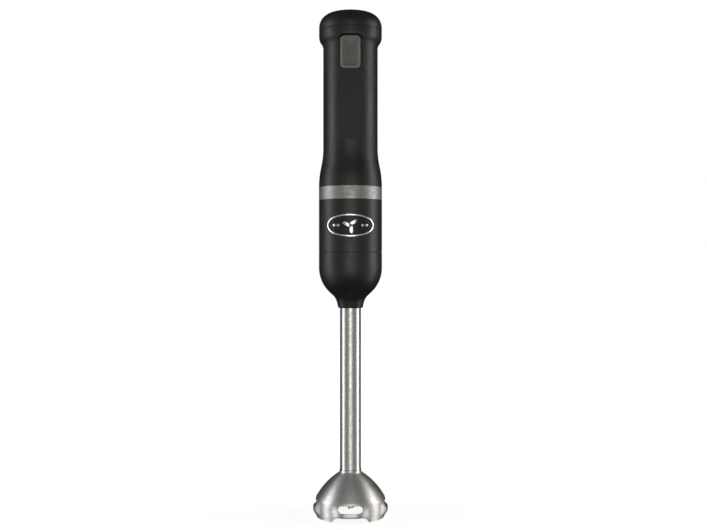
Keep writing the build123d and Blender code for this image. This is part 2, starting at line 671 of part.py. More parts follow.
def front_shell():
    body = split(handle_shell(), Plane.XZ, keep=Keep.TOP)
    body -= front_prism(panel_outline(), -40, PANEL_Y + PANEL_T)
    for x, z in ((LOW_BOSS_X, LOW_BOSS_Z), (HIGH_BOSS_X, HIGH_BOSS_Z)):
        body -= shell_boss(x, z, -9.0, 1, SHELL_SCREW_R)
    return body


def rear_shell():
    body = split(handle_shell(), Plane.XZ, keep=Keep.BOTTOM)
    for x, z in ((LOW_BOSS_X, LOW_BOSS_Z), (HIGH_BOSS_X, HIGH_BOSS_Z)):
        body -= shell_boss(x, z, -1, 40, SHELL_SCREW_R + 0.3)
        body -= shell_boss(x, z, SCREW_SEAT_Y, 40, SCREW_WELL_R)
    port = extrude(Plane.XZ * Pos(0, CHARGE_Z) * RectangleRounded(CHARGE_W, CHARGE_H, 1.8), -40)
    rim = extrude(Plane.XZ.offset(-GRIP_R + 0.8) * Pos(0, CHARGE_Z) * RectangleRounded(14.0, 8.0, 3.0), -20)
    return body - port - rim


def shell_screws():
    """Four long screws that clamp the rear shell to the front one."""
    screws = []
    for x, z in ((LOW_BOSS_X, LOW_BOSS_Z), (HIGH_BOSS_X, HIGH_BOSS_Z)):
        for side in (-1, 1):
            head = rod(side * x, z, SCREW_HEAD_R, SCREW_SEAT_Y, SCREW_SEAT_Y + 1.8)
            cross = block(-1.6, 1.6, 0.9, 3, -0.35, 0.35) + block(-0.35, 0.35, 0.9, 3, -1.6, 1.6)
            head -= Pos(side * x, SCREW_SEAT_Y, z) * cross
            screws.append(head + rod(side * x, z, SHELL_SCREW_R, -8.0, SCREW_SEAT_Y))
    return Compound(children=screws)


def cap_dome(inset):
    """The solid under the cap's surface: a rounded shoulder that runs into a flat crown."""
    knee = RIM_R - CAP_SHOULDER_R
    rise = TOP_Z - CAP_SHOULDER_Z
    crown_r = (knee ** 2 + rise ** 2 - CAP_SHOULDER_R ** 2) / (2 * (rise - CAP_SHOULDER_R))
    turn = degrees(asin(knee / (crown_r - CAP_SHOULDER_R)))
    low = CAP_Z + SEAL_T / 2
    side = RIM_R - inset
    return spun([Line((0, low), (side, low)), Line((side, low), (side, CAP_SHOULDER_Z)),
                 CenterArc((knee, CAP_SHOULDER_Z), CAP_SHOULDER_R - inset, 0, 90 - turn),
                 CenterArc((0, TOP_Z - crown_r), crown_r - inset, 90 - turn, turn),
                 Line((0, TOP_Z - inset), (0, low))])


def end_cap():
    """Domed cap with a spigot that snaps into the top of the shells."""
    spigot_r = RIM_R - WALL
    return cap_dome(0.0) - cap_dome(WALL) + ring(spigot_r, spigot_r - 1.8, CAP_Z - 4.5, CAP_Z + 4.0)


def cap_seal():
    """Thin gasket clamped in the joint under the end cap."""
    return ring(RIM_R - 0.6, RIM_R - WALL, CAP_Z - SEAL_T / 2, CAP_Z + SEAL_T / 2)


def front_panel():
    """Flat glossy insert with the button's opening and two pegs behind it."""
    body = front_prism(panel_outline(), PANEL_Y, PANEL_Y + PANEL_T)
    body -= front_prism(button_outline(SLIP), PANEL_Y - 1, PANEL_Y + PANEL_T + 1)
    for z in (PANEL_Z0 + 12.0, PANEL_Z0 + 42.0):
        body += rod(0, z, 1.8, PANEL_Y + PANEL_T, PANEL_Y + PANEL_T + 2.4)
    return body


# ---- power button -------------------------------------------------------------------------------
def power_button():
    """Cup with a shallow thumb dish, a retaining lip behind the panel and a post to the switch."""
    face = front_prism(button_outline(), BUTTON_FACE_Y, PANEL_Y + PANEL_T + SLIP)
    face = fillet(face.edges().group_by(Axis.Y)[0], BUTTON_EDGE_R)
    hollow = front_prism(button_outline(-BUTTON_WALL), BUTTON_FACE_Y + 2.0, PANEL_Y + PANEL_T + 5)
    lip = front_prism(button_outline(1.2), PANEL_Y + PANEL_T + SLIP, PANEL_Y + PANEL_T + SLIP + LIP_T)
    dish = Pos(0, BUTTON_FACE_Y - DISH_R + DISH_DEPTH, BUTTON_Z) * Sphere(DISH_R)
    post = rod(0, BUTTON_Z, POST_R, BUTTON_FACE_Y + 1.5, PLUNGER_Y0 - 0.05)
    return face + lip - hollow - dish + post


def button_spring():
    """Coil spring round the button's post, from the button's face to the switch."""
    wire_r = 0.3
    y0 = BUTTON_FACE_Y + 2.0 + wire_r
    y1 = SWITCH_Y - wire_r
    coils = Helix(pitch=(y1 - y0) / 5, height=y1 - y0, radius=POST_R + 0.8)
    path = Pos(0, y1, BUTTON_Z) * Rot(90, 0, 0) * coils
    section = Plane(path @ 0, z_dir=path % 0) * Circle(wire_r)
    return sweep(section, path, is_frenet=True)


def trigger_switch():
    body = block(-6.4, 6.4, SWITCH_Y, BOARD_Y, BUTTON_Z - 3.25, BUTTON_Z + 3.25)
    body = fillet(body.edges().filter_by(Axis.Y), 0.5)
    return body - rod(0, BUTTON_Z, PLUNGER_R + 0.15, SWITCH_Y - 1, PLUNGER_Y1 + BUTTON_TRAVEL + 0.4)


def switch_plunger():
    return rod(0, BUTTON_Z, PLUNGER_R, PLUNGER_Y0, PLUNGER_Y1)


def control_board():
    """Circuit board with its driver parts as raised blocks."""
    body = block(-11.5, 11.5, BOARD_Y, BOARD_Y + BOARD_T, CARRIER_TOP_Z + 2.4, CARRIER_TOP_Z + 40.0)
    for x, z, w, h, t in ((-6.5, 379.0, 6.0, 5.0, 2.0), (3.5, 380.0, 4.4, 4.4, 1.2), (-4.0, 404.5, 9.0, 4.0, 1.6),
                          (6.0, 403.5, 4.0, 6.0, 2.6)):
        body += block(x - w / 2, x + w / 2, BOARD_Y - t, BOARD_Y, z - h / 2, z + h / 2)
    return body


def board_bracket():
    """Moulded tray that stands on the battery carrier and holds the board and the charging socket."""
    z0 = CARRIER_TOP_Z
    body = block(-12.0, 12.0, BOARD_Y + BOARD_T, BRACKET_Y1, z0, z0 + 39.0)
    body += block(-12.0, 12.0, BOARD_Y + BOARD_T, 9.0, z0, z0 + 2.0)
    body += block(-6.0, 6.0, BRACKET_Y1, 12.6, CHARGE_Z - CHARGE_H / 2 - 2.2, CHARGE_Z - CHARGE_H / 2)
    for side in (-1, 1):
        body += block(side * 11.3 - 0.7, side * 11.3 + 0.7, BRACKET_Y1, 6.0, z0, z0 + 16.0)
    return body


def charge_socket():
    """Metal shell of the charging port, flush with the bottom of its recess behind."""
    outer = extrude(Plane.XZ * Pos(0, CHARGE_Z) * RectangleRounded(CHARGE_W, CHARGE_H, 1.8), -(GRIP_R - 1.0))
    outer &= block(-10, 10, 12.6, 30, CHARGE_Z - 5, CHARGE_Z + 5)
    cavity = extrude(Plane.XZ * Pos(0, CHARGE_Z) * RectangleRounded(CHARGE_W - 0.8, CHARGE_H - 0.8, 1.4), -40)
    cavity &= block(-10, 10, 14.0, 40, CHARGE_Z - 5, CHARGE_Z + 5)
    tongue = block(-3.3, 3.3, 14.0, 20.5, CHARGE_Z - 0.35, CHARGE_Z + 0.35)
    return outer - cavity + tongue


# ---- battery ------------------------------------------------------------------------------------
def battery_cells():
    """Three round cells side by side with their raised positive ends."""
    cells = []
    for angle in CELL_ANGLES:
        place = Rot(0, 0, angle) * Pos(CELL_RING_R, 0, 0)
        cell = ring(CELL_R, 0, CELL_Z0, CELL_Z0 + CELL_H)
        cell -= ring(CELL_R, CELL_R - 0.35, CELL_Z0 + CELL_H - 3.0, CELL_Z0 + CELL_H - 2.0)
        cells.append(place * cell)
    return Compound(children=cells)


def battery_carrier():
    """Cage round the cells: two round plates, three ribs and a thin rod between the cells."""
    low = ring(CARRIER_R, 0, CELL_Z0 - STRAP_T - PLATE_T, CELL_Z0 - STRAP_T)
    high = ring(CARRIER_R, 0, CELL_Z0 + CELL_H + STRAP_T, CARRIER_TOP_Z)
    body = low + high + ring(1.2, 0, CELL_Z0 - STRAP_T, CELL_Z0 + CELL_H + STRAP_T)
    for angle in CELL_ANGLES:
        out = 17.6 if angle + 180 == 270 else CARRIER_R - 0.3
        body += Rot(0, 0, angle + 180) * block(15.0, out, -2.2, 2.2, CELL_Z0 - 1, CELL_Z0 + CELL_H + 1)
    return body - block(-30, 30, -30, PANEL_Y + PANEL_T + 2.6, 300, 380)


def cell_straps():
    """Nickel strips that join the cells at both ends."""
    half = CELL_RING_R * cos(radians(30))
    straps = []
    for z in (CELL_Z0 - STRAP_T, CELL_Z0 + CELL_H):
        straps.append(block(-half, half, -CELL_RING_R / 2 - 3.0, -CELL_RING_R / 2 + 3.0, z, z + STRAP_T))
    return Compound(children=straps)


# ---- output -------------------------------------------------------------------------------------
PARTS = [
    bell, shaft_tube, arm_housing, lock_collar, bearing_carrier, shaft_guides, lower_bush, shaft_seal,
    drive_shaft, shaft_clip, blade_hub, blade_nut, blade, drive_socket, drive_dog,
    motor_shaft, armature, windings, commutator, motor_fan, motor_can, field_magnets, motor_end_bell,
    motor_brushes, motor_bearings, motor_mount, motor_screws, motor_damper,
    motor_housing, trim_ring, joint_gasket, bayonet_ring,
    front_shell, rear_shell, shell_screws, end_cap, cap_seal, front_panel,
    power_button, button_spring, trigger_switch, switch_plunger, control_board, board_bracket, charge_socket,
    battery_cells, battery_carrier, cell_straps,
]


def write(name, shape):
    """Writes one part, as it stands, to its own file."""
    shape.label = name
    export_step(shape, f"parts/{name}.step")


def main():
    os.makedirs("parts", exist_ok=True)
    for part in PARTS:
        write(part.__name__, part())
    write("upper_bearing", ball_bearing(SHAFT_R + SHAFT_FIT, BEARING_R, BEARING_Z0, BEARING_Z1))
    write("badge", badge_plate(BADGE_T))


main()
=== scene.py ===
import json
from math import asin, cos, degrees, hypot, pi, radians, sin, sqrt

import bmesh
import bpy
from mathutils import Matrix, Vector


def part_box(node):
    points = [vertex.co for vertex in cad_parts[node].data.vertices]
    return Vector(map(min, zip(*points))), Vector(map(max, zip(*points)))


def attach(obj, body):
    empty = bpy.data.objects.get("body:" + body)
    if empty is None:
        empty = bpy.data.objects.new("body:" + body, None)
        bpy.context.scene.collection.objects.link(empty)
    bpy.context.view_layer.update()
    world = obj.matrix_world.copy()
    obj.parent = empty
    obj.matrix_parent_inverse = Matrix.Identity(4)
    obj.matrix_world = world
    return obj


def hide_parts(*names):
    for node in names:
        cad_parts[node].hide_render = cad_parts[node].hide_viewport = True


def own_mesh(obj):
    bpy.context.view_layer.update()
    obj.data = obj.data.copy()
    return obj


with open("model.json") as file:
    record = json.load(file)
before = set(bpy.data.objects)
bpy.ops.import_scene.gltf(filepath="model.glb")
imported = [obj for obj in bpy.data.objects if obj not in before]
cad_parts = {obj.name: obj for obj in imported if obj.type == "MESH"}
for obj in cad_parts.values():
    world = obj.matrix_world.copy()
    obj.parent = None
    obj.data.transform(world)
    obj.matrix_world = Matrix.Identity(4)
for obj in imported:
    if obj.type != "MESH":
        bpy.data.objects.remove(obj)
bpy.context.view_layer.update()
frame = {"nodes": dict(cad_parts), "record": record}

# A cordless immersion blender in metres. +Z is up, the button faces -Y, and the rim of the blade guard
# stands on the floor at z = 0.

MM = 0.001
NODES = frame["nodes"]

# ---- sizes read from the frame --------------------------------------------------------------------
GUARD_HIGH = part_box("bell")[1]
TUBE_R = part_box("shaft_tube")[1].x
HOUSING_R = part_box("motor_housing")[1].x
HOOD_OUT = GUARD_HIGH.x
NECK_Z = GUARD_HIGH.z
BUTTON_LOW, BUTTON_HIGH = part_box("power_button")
BADGE_LOW, BADGE_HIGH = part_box("badge")

# Blade guard: the sheet's outline is a chain of tangent arcs (radius, angle the arc ends at)
SHEET = 0.9 * MM
GUARD_ARCS = [(-4.0 * MM, 56.1), (59.9 * MM, 30.3), (5.1 * MM, 0.0)]
SKIRT_R = 188.0 * MM
VENT_W = 20.6 * MM
VENT_H = 5.9 * MM
VENT_Z = 11.4 * MM
VENT_ROUND = 0.999            # share of half the vent's height that its ends are rounded by
NOTCH_W = 31.4 * MM
NOTCH_TOP_W = 24.8 * MM
NOTCH_H = 4.6 * MM
NOTCH_CORNER = 3.0 * MM
HOOD_FULL = 5.5 * MM          # a pressed hood is fully out this far from its middle
HOOD_EDGE = 16.2 * MM         # and has faded into the dome here
HOOD_TOP = 14.7 * MM
HOOD_CREST = 7.4 * MM
HOOD_FLATNESS = 0.2           # 0 follows the dome round, 1 is a flat face
TURNS = 240                   # facets round the guard


# ---- mesh helpers ---------------------------------------------------------------------------------
def new_piece(name, bm, material, body, smooth_angle=35.0):
    """Makes a finished piece from a bmesh: smooth faces, sharp creases, a material and a body to ride."""
    bm.normal_update()
    for face in bm.faces:
        face.smooth = True
    for edge in bm.edges:
        edge.smooth = len(edge.link_faces) == 2 and edge.calc_face_angle(0.0) < radians(smooth_angle)
    mesh = bpy.data.meshes.new(name)
    bm.to_mesh(mesh)
    bm.free()
    piece = bpy.data.objects.new(name, mesh)
    bpy.context.scene.collection.objects.link(piece)
    mesh.materials.append(material)
    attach(piece, body)
    return piece


def closed(bm, gap=1e-6):
    """Merges doubles and points every face outwards."""
    bmesh.ops.remove_doubles(bm, verts=bm.verts, dist=gap)
    bmesh.ops.recalc_face_normals(bm, faces=bm.faces)


def skinned(bm, loops):
    """Faces between neighbouring loops of as many points each, and over the first and the last."""
    for outer, inner in zip(loops, loops[1:]):
        for k in range(len(outer)):
            after = (k + 1) % len(outer)
            bm.faces.new((outer[k], outer[after], inner[after], inner[k]))
    bm.faces.new(loops[0])
    bm.faces.new(loops[-1])
    bmesh.ops.recalc_face_normals(bm, faces=bm.faces)


def rounded(bm, width, angle=30.0, segments=2):
    """Rounds every edge that is sharper than an angle."""
    sharp = [e for e in bm.edges if len(e.link_faces) == 2 and e.calc_face_angle(0.0) > radians(angle)]
    bmesh.ops.bevel(bm, geom=sharp, offset=width, offset_type="OFFSET", affect="EDGES", segments=segments,
                    profile=0.5, material=-1, clamp_overlap=True)


def softened(node, body, material, width, angle=30.0):
    """A CAD part with its moulded edges rounded, standing for the sharp one."""
    bm = bmesh.new()
    bm.from_mesh(NODES[node].data)
    bmesh.ops.remove_doubles(bm, verts=bm.verts, dist=1e-6)
    bmesh.ops.dissolve_limit(bm, angle_limit=radians(0.6), verts=bm.verts, edges=bm.edges)
    rounded(bm, width, angle)
    piece = new_piece(node + "_part", bm, material, body)
    settle_normals(piece)
    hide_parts(node)
    return piece


def settle_normals(piece):
    """Lets large faces win the shading over the small ones beside them."""
    weighted = piece.modifiers.new("weighted", "WEIGHTED_NORMAL")
    weighted.keep_sharp = True
    weighted.weight = 80


def applied(piece):
    """Turns a piece's modifiers into its mesh."""
    graph = bpy.context.evaluated_depsgraph_get()
    mesh = bpy.data.meshes.new_from_object(piece.evaluated_get(graph))
    piece.modifiers.clear()
    piece.data = mesh


# ---- finishes -------------------------------------------------------------------------------------
class Finish:
    """One material's node tree, with short calls for the nodes it uses."""

    def __init__(self, name, colour, roughness, metallic=0.0, **sockets):
        self.material = bpy.data.materials.new(name)
        self.material.use_nodes = True
        self.tree = self.material.node_tree
        self.shader = self.tree.nodes["Principled BSDF"]
        self.shader.inputs["Base Color"].default_value = (*colour, 1.0)
        self.shader.inputs["Roughness"].default_value = roughness
        self.shader.inputs["Metallic"].default_value = metallic
        for key, value in sockets.items():
            self.shader.inputs[key.replace("_", " ")].default_value = value
        self.material.diffuse_color = (*colour, 1.0)
        self.colour = colour

    def node(self, kind, **settings):
        made = self.tree.nodes.new(kind)
        for key, value in settings.items():
            setattr(made, key, value)
        return made

    def link(self, a, b):
        self.tree.links.new(a, b)

    def place(self, scale=(1.0, 1.0, 1.0)):
        """Object coordinates, stretched."""
        coordinates = self.node("ShaderNodeTexCoord")
        mapping = self.node("ShaderNodeMapping")
        mapping.inputs["Scale"].default_value = scale
        self.link(coordinates.outputs["Object"], mapping.inputs["Vector"])
        return mapping.outputs["Vector"]

    def around(self, along, across):
        """Coordinates for marks that run round the axis: along is marks per turn, across per metre."""
        coordinates = self.node("ShaderNodeTexCoord")
        split = self.node("ShaderNodeSeparateXYZ")
        self.link(coordinates.outputs["Object"], split.inputs[0])
        flat = self.node("ShaderNodeCombineXYZ")
        self.link(split.outputs["X"], flat.inputs["X"])
        self.link(split.outputs["Y"], flat.inputs["Y"])
        length = self.node("ShaderNodeVectorMath", operation="LENGTH")
        self.link(flat.outputs[0], length.inputs[0])
        unit = self.node("ShaderNodeVectorMath", operation="NORMALIZE")
        self.link(flat.outputs[0], unit.inputs[0])
        turned = self.node("ShaderNodeVectorMath", operation="SCALE")
        turned.inputs["Scale"].default_value = along
        self.link(unit.outputs[0], turned.inputs[0])
        height = self.node("ShaderNodeMath", operation="SUBTRACT")
        self.link(split.outputs["Z"], height.inputs[0])
        self.link(length.outputs["Value"], height.inputs[1])
        stretched = self.node("ShaderNodeMath", operation="MULTIPLY")
        stretched.inputs[1].default_value = across
        self.link(height.outputs[0], stretched.inputs[0])
        lifted = self.node("ShaderNodeCombineXYZ")
        self.link(stretched.outputs[0], lifted.inputs["Z"])
        total = self.node("ShaderNodeVectorMath", operation="ADD")
        self.link(turned.outputs[0], total.inputs[0])
        self.link(lifted.outputs[0], total.inputs[1])
        return total.outputs[0]

    def noise(self, vector, scale, detail=2.0, roughness=0.5):
        texture = self.node("ShaderNodeTexNoise")
        texture.inputs["Scale"].default_value = scale
        texture.inputs["Detail"].default_value = detail
        texture.inputs["Roughness"].default_value = roughness
        self.link(vector, texture.inputs["Vector"])
        return texture.outputs["Fac"]

    def cells(self, vector, scale):
        texture = self.node("ShaderNodeTexVoronoi")
        texture.inputs["Scale"].default_value = scale
        self.link(vector, texture.inputs["Vector"])
        return texture.outputs["Distance"]

    def spread(self, factor, low, high, start=0.0, end=1.0):
        """Carries a factor from the span start..end to low..high."""
        remap = self.node("ShaderNodeMapRange")
        remap.inputs["From Min"].default_value = start
        remap.inputs["From Max"].default_value = end
        remap.inputs["To Min"].default_value = low
        remap.inputs["To Max"].default_value = high
        self.link(factor, remap.inputs["Value"])
        return remap.outputs["Result"]

    def blend(self, factor, first, second):
        mix = self.node("ShaderNodeMix", data_type="RGBA")
        self.link(factor, mix.inputs["Factor"])
        for socket, value in ((mix.inputs[6], first), (mix.inputs[7], second)):
            if isinstance(value, tuple):
                socket.default_value = (*value, 1.0)
            else:
                self.link(value, socket)
        return mix.outputs[2]

    def paint(self, factor, first, second):
        """Base colour that drifts between two tones."""
        self.link(self.blend(factor, first, second), self.shader.inputs["Base Color"])

    def dull(self, factor, low, high, start=0.3, end=0.7):
        """Roughness that drifts between two values."""
        self.link(self.spread(factor, low, high, start, end), self.shader.inputs["Roughness"])

    def relief(self, *layers):
        """Bumps from (height, strength, depth) layers."""
        normal = None
        for height, strength, depth in layers:
            bump = self.node("ShaderNodeBump")
            bump.inputs["Strength"].default_value = strength
            bump.inputs["Distance"].default_value = depth
            self.link(height, bump.inputs["Height"])
            if normal is not None:
                self.link(normal, bump.inputs["Normal"])
            normal = bump.outputs["Normal"]
        self.link(normal, self.shader.inputs["Normal"])


def tone(colour, factor):
    return tuple(min(1.0, c * factor) for c in colour)


def moulded(name, colour, roughness, grain_and_dish_shade=5200.0, depth=0.02, **sockets):
    """Plastic from a spark-eroded mould: a fine even texture, slight unevenness and handling marks."""
    f = Finish(name, colour, roughness, **sockets)
    spot = f.place()
    fine = f.noise(spot, grain_and_dish_shade, 3.0, 0.6)
    broad = f.noise(spot, 38.0, 4.0, 0.6)
    marks = f.noise(spot, 210.0, 3.0, 0.65)
    f.paint(f.spread(broad, 0.0, 1.0, 0.35, 0.65), tone(colour, 0.90), tone(colour, 1.12))
    drift = f.node("ShaderNodeMath", operation="ADD")
    f.link(f.spread(broad, -0.035, 0.035, 0.3, 0.7), drift.inputs[0])
    f.link(f.spread(marks, roughness - 0.03, roughness + 0.05, 0.3, 0.7), drift.inputs[1])
    f.link(drift.outputs[0], f.shader.inputs["Roughness"])
    f.relief((fine, 0.35, depth * MM), (broad, 0.10, 0.12 * MM))
    return f.material


def brushed_round(name, colour, roughness, strokes=9.0, **sockets):
    """Steel brushed round the axis: hair lines, broader strokes and faint clouds."""
    f = Finish(name, colour, roughness, metallic=1.0, **sockets)
    lines = f.noise(f.around(strokes, 5200.0), 1.0, 3.0, 0.7)
    bands = f.noise(f.around(strokes * 0.6, 900.0), 1.0, 3.0, 0.7)
    cloud = f.noise(f.place(), 60.0, 3.0, 0.6)
    mixed = f.node("ShaderNodeMath", operation="ADD")
    f.link(f.spread(bands, 0.0, 0.65, 0.32, 0.68), mixed.inputs[0])
    f.link(f.spread(lines, 0.0, 0.35, 0.3, 0.7), mixed.inputs[1])
    f.paint(mixed.outputs[0], tone(colour, 0.72), tone(colour, 1.2))
    rough = f.node("ShaderNodeMath", operation="ADD")
    f.link(f.spread(bands, roughness + 0.09, roughness - 0.07, 0.3, 0.7), rough.inputs[0])
    f.link(f.spread(cloud, -0.02, 0.03, 0.3, 0.7), rough.inputs[1])
    f.link(rough.outputs[0], f.shader.inputs["Roughness"])
    f.relief((lines, 0.25, 0.02 * MM), (bands, 0.3, 0.08 * MM))
    grain_and_dish_shade = f.node("ShaderNodeTangent", direction_type="RADIAL", axis="Z")
    f.link(grain_and_dish_shade.outputs[0], f.shader.inputs["Tangent"])
    return f.material


def plain_metal(name, colour, roughness, grain_and_dish_shade=1800.0, **sockets):
    """Machined or plated metal with faint mottling."""
    f = Finish(name, colour, roughness, metallic=1.0, **sockets)
    spot = f.place()
    fine = f.noise(spot, grain_and_dish_shade, 3.0, 0.6)
    broad = f.noise(spot, 120.0, 3.0, 0.6)
    f.paint(f.spread(broad, 0.0, 1.0, 0.3, 0.7), tone(colour, 0.86), tone(colour, 1.10))
    f.dull(fine, roughness - 0.06, roughness + 0.08)
    f.relief((fine, 0.15, 0.015 * MM))
    return f.material


def ground_steel(name, colour, roughness):
    """Blade steel ground across the wings."""
    f = Finish(name, colour, roughness, metallic=1.0)
    lines = f.noise(f.place((5200.0, 260.0, 900.0)), 1.0, 3.0, 0.7)
    broad = f.noise(f.place(), 160.0, 3.0, 0.6)
    f.paint(lines, tone(colour, 0.78), tone(colour, 1.12))
    f.dull(broad, roughness - 0.05, roughness + 0.09)
    f.relief((lines, 0.25, 0.02 * MM))
    return f.material


def stacked_steel(name, colour, roughness):
    """Laminations: thin stacked sheets seen edge on."""
    f = Finish(name, colour, roughness, metallic=1.0)
    sheets = f.node("ShaderNodeTexWave", wave_type="BANDS", bands_direction="Z")
    sheets.inputs["Scale"].default_value = 320.0
    f.link(f.place(), sheets.inputs["Vector"])
    f.paint(sheets.outputs["Fac"], tone(colour, 0.6), tone(colour, 1.1))
    f.relief((sheets.outputs["Fac"], 0.4, 0.05 * MM))
    return f.material


def wound_wire(name, colour, roughness):
    """Enamelled copper laid in rows."""
    f = Finish(name, colour, roughness, metallic=0.85, Coat_Weight=0.5)
    rows = f.node("ShaderNodeTexWave", wave_type="BANDS", bands_direction="DIAGONAL")
    rows.inputs["Scale"].default_value = 520.0
    f.link(f.place(), rows.inputs["Vector"])
    f.paint(rows.outputs["Fac"], tone(colour, 0.55), tone(colour, 1.15))
    f.relief((rows.outputs["Fac"], 0.6, 0.12 * MM))
    return f.material


def lacquered_board(name, colour, roughness):
    """Circuit board lacquer with faint tracks under it."""
    f = Finish(name, colour, roughness, Coat_Weight=0.6)
    tracks = f.cells(f.place((420.0, 420.0, 420.0)), 1.0)
    f.paint(f.spread(tracks, 0.0, 1.0, 0.35, 0.45), tone(colour, 0.7), tone(colour, 1.5))
    f.relief((tracks, 0.2, 0.03 * MM))
    return f.material


def soft_rubber(name, colour, roughness):
    """Rubber or silicone with a dusty bloom."""
    f = Finish(name, colour, roughness, Sheen_Weight=0.15)
    spot = f.place()
    bloom = f.noise(spot, 150.0, 4.0, 0.65)
    fine = f.noise(spot, 3000.0, 2.0, 0.6)
    f.paint(bloom, tone(colour, 0.8), tone(colour, 1.3))
    f.dull(bloom, roughness - 0.06, roughness + 0.06)
    f.relief((fine, 0.3, 0.03 * MM))
    return f.material


BLACK = (0.0125, 0.0123, 0.0122)
STEEL = (0.83, 0.815, 0.79)
FINISHES = {
    "black_shell": moulded("black_satin_plastic", BLACK, 0.44),
    # The panel black is a darker copy of the shell's: partly a different finish, partly painted shade for
    # the front highlight the flat panel misses.
    "black_gloss": moulded("black_panel_plastic", tone(BLACK, 0.75), 0.46, Specular_IOR_Level=0.36),
    "grey_button": moulded("grey_button_plastic", (0.135, 0.132, 0.125), 0.42),
    "brushed_steel": brushed_round("brushed_tube_steel", STEEL, 0.43, Anisotropic=0.7,
                                   Anisotropic_Rotation=0.25),
    "blade_steel": ground_steel("ground_blade_steel", (0.55, 0.55, 0.55), 0.3),
    "plated_steel": plain_metal("plated_steel", (0.62, 0.62, 0.62), 0.25),
    "satin_metal": plain_metal("satin_badge_metal", (0.86, 0.86, 0.86), 0.28),
    "bronze": plain_metal("sintered_bronze", (0.52, 0.36, 0.19), 0.45),
    "white_nylon": moulded("natural_nylon", (0.72, 0.70, 0.64), 0.45),
    "grey_moulding": moulded("grey_frame_plastic", (0.06, 0.063, 0.068), 0.5),
    "silicone": soft_rubber("grey_silicone", (0.12, 0.125, 0.13), 0.6),
    "black_rubber": soft_rubber("black_rubber", (0.012, 0.012, 0.012), 0.7),
    "motor_steel": plain_metal("zinc_plated_can", (0.58, 0.58, 0.60), 0.32),
    "lamination": stacked_steel("laminated_iron", (0.25, 0.25, 0.26), 0.45),
    "magnet": plain_metal("magnet_ferrite", (0.05, 0.05, 0.055), 0.6),
    "copper": wound_wire("copper_wire", (0.65, 0.26, 0.12), 0.32),
    "carbon": plain_metal("brush_carbon", (0.03, 0.03, 0.03), 0.6),
    "circuit_board": lacquered_board("green_board", (0.012, 0.09, 0.035), 0.4),
    "cell_wrap": moulded("cell_wrap", (0.03, 0.10, 0.24), 0.3, grain_and_dish_shade=900.0),
    "nickel": plain_metal("nickel_plate", (0.60, 0.57, 0.52), 0.3),
}

RING_STEEL = brushed_round("brushed_ring_steel", tone(STEEL, 0.54), 0.58, Anisotropic=0.4,
                           Anisotropic_Rotation=0.25)
GUARD_STEEL = brushed_round("brushed_guard_steel", tone(STEEL, 0.98), 0.46, strokes=7.0, Anisotropic=0.5,
                            Anisotropic_Rotation=0.25)


def button_plastic():
    """Grey button moulding: a smooth paler border, and the thumb dish darkened with painted shade where it
    dips.
    """
    pale, shaded_dish_tone = (0.215, 0.210, 0.198), (0.150, 0.147, 0.139)
    f = Finish("thumb_button_plastic", shaded_dish_tone, 0.42)
    spot = f.place()
    # painted shade: the mesh's dish share turns the face to the darker tone inside the thumb dish
    dish = f.node("ShaderNodeAttribute", attribute_name="dish").outputs["Fac"]
    fine = f.noise(spot, 5200.0, 3.0, 0.6)
    broad = f.noise(spot, 90.0, 3.0, 0.6)
    face = f.blend(dish, pale, shaded_dish_tone)
    f.paint(f.spread(broad, 0.0, 0.12, 0.3, 0.7), face, tone(shaded_dish_tone, 0.5))
    f.dull(fine, 0.38, 0.5)
    f.relief((fine, 0.3, 0.02 * MM))
    return f.material


BUTTON_PLASTIC = button_plastic()
MARK_PLASTIC = moulded("button_mark_plastic", (0.085, 0.083, 0.079), 0.5)


def dress_cad_parts():
    """Gives every CAD part the finish of its material slot."""
    slots = {part["node"]: part["material_slot"] for part in frame["record"]["subparts"]}
    for node, part in NODES.items():
        part.data.materials.clear()
        part.data.materials.append(FINISHES[slots[node]])


# ---- blade guard ----------------------------------------------------------------------------------
def guard_outline():
    """Outline of the guard from the tube down to the rim, as (radius, height) points."""
    x, z, angle = TUBE_R, NECK_Z, 0.0
    points = [(x, z)]
    for radius, end in GUARD_ARCS + [(SKIRT_R, None)]:
        centre = (x - radius * cos(radians(angle)), z - radius * sin(radians(angle)))
        if end is None:
            end = -degrees(asin(z / radius))
        steps = max(3, int(abs(radius * radians(end - angle)) / (0.5 * MM)))
        for step in range(1, steps + 1):
            turn = radians(angle + (end - angle) * step / steps)
            points.append((centre[0] + radius * cos(turn), centre[1] + radius * sin(turn)))
        x, z = points[-1]
        angle = end
    return points


def ease(t):
    t = min(1.0, max(0.0, t))
    return t * t * (3.0 - 2.0 * t)


def hood_share(z):
    """How far a hood is pressed out at a height: a sharp brow, a crest and a soft chin."""
    if z > HOOD_CREST:
        down = min(1.0, max(0.0, (HOOD_TOP - z) / (HOOD_TOP - HOOD_CREST)))
        return 1.0 - (1.0 - down) ** 2
    return 1.0 - ease((1.0 - z / HOOD_CREST - 0.2) / 0.8)


def press_hoods(bm):
    """Pushes the sheet out round each of the four vents, so that the skirt is a rounded square."""
    for vert in bm.verts:
        share = hood_share(vert.co.z)
        if share <= 0.0:
            continue
        dome = hypot(vert.co.x, vert.co.y)
        reach = dome + (HOOD_OUT - dome) * share
        for quarter in range(4):
            turn = Matrix.Rotation(-quarter * pi / 2, 3, "Z")
            spot = turn @ vert.co
            if spot.x < abs(spot.y):
                continue
            arc = sqrt(reach ** 2 - spot.y ** 2)
            face = arc + (reach - arc) * HOOD_FLATNESS * share
            spot.x += (face - spot.x) * (1.0 - ease((abs(spot.y) - HOOD_FULL) / (HOOD_EDGE - HOOD_FULL)))
            vert.co = turn.transposed() @ spot
            break


def cutter(name, bm):
    """A closed block that is only used to cut a hole."""
    closed(bm)
    mesh = bpy.data.meshes.new(name)
    bm.to_mesh(mesh)
    bm.free()
    block = bpy.data.objects.new(name, mesh)
    bpy.context.scene.collection.objects.link(block)
    return block


